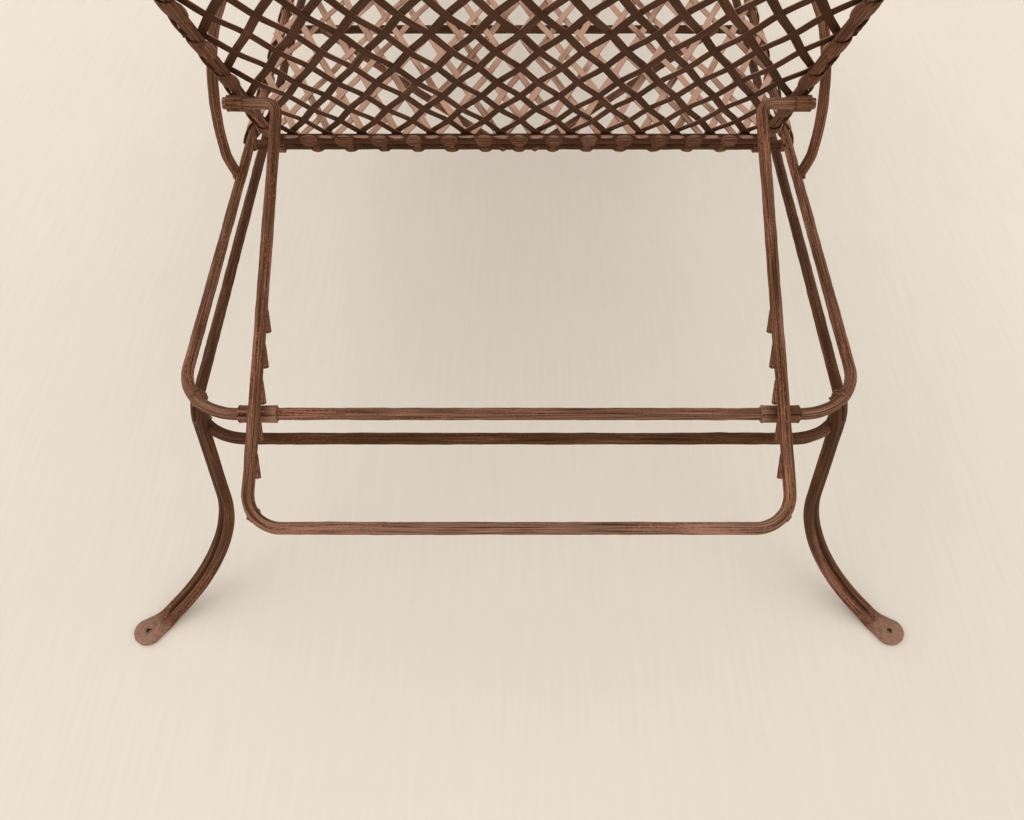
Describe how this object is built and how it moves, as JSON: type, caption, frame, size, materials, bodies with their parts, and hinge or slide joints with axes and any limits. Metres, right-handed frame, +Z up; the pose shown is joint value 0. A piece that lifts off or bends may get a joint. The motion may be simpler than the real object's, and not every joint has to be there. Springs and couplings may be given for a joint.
{
  "type": "iron garden chaise longue",
  "caption": "Wrought iron garden chaise longue with woven strap seat and back, twin side rails, cabriole legs, hoop arm rests and a toothed prop that sets the back's angle.",
  "frame": {"origin": "on the floor, at the middle of the four feet", "axes": "+Z up, +Y towards the foot end, +X to the right seen from the head end"},
  "size_m": [0.8676, 1.6783, 0.882],
  "materials": {
    "rod_iron": "weathered rust brown, dry",
    "strap_iron": "weathered rust brown, dry"
  },
  "bodies": {
    "frame": {"upper_rail": "rod_iron", "lower_rail": "rod_iron", "hinge_rail": "rod_iron", "mid_crossbar": "rod_iron", "brace_left": "rod_iron", "brace_right": "rod_iron", "leg_head_left": "rod_iron", "leg_head_right": "rod_iron", "leg_foot_left": "rod_iron", "leg_foot_right": "rod_iron", "arm_left": "rod_iron", "arm_right": "rod_iron", "collar_left": "rod_iron", "collar_right": "rod_iron", "seat_straps_under": "strap_iron", "seat_straps_over": "strap_iron", "seat_wraps": "strap_iron"},
    "back": {"back_frame": "rod_iron", "back_bottom_rail": "rod_iron", "back_straps_under": "strap_iron", "back_straps_over": "strap_iron", "back_wraps": "strap_iron", "hinge_eye_left": "rod_iron", "hinge_eye_right": "rod_iron", "prop_sleeve_left": "rod_iron", "prop_sleeve_right": "rod_iron"},
    "prop": {"prop_bail": "rod_iron", "rack_left": "rod_iron", "rack_right": "rod_iron"}
  },
  "joints": [
    {"name": "back_hinge", "type": "hinge", "parent": "frame", "child": "back", "pos_m": [0, -0.331, 0.302], "axis": [-1, 0, 0], "range_deg": [0, 22.6]},
    {"name": "prop_pivot", "type": "hinge", "parent": "back", "child": "prop", "pos_m": [0, -0.44651, 0.43832], "axis": [1, 0, 0], "range_deg": [0, 23.3]}
  ],
  "couplings": [
    {"joint": "prop_pivot", "follows": "back_hinge", "ratio": 1.03}
  ]
}
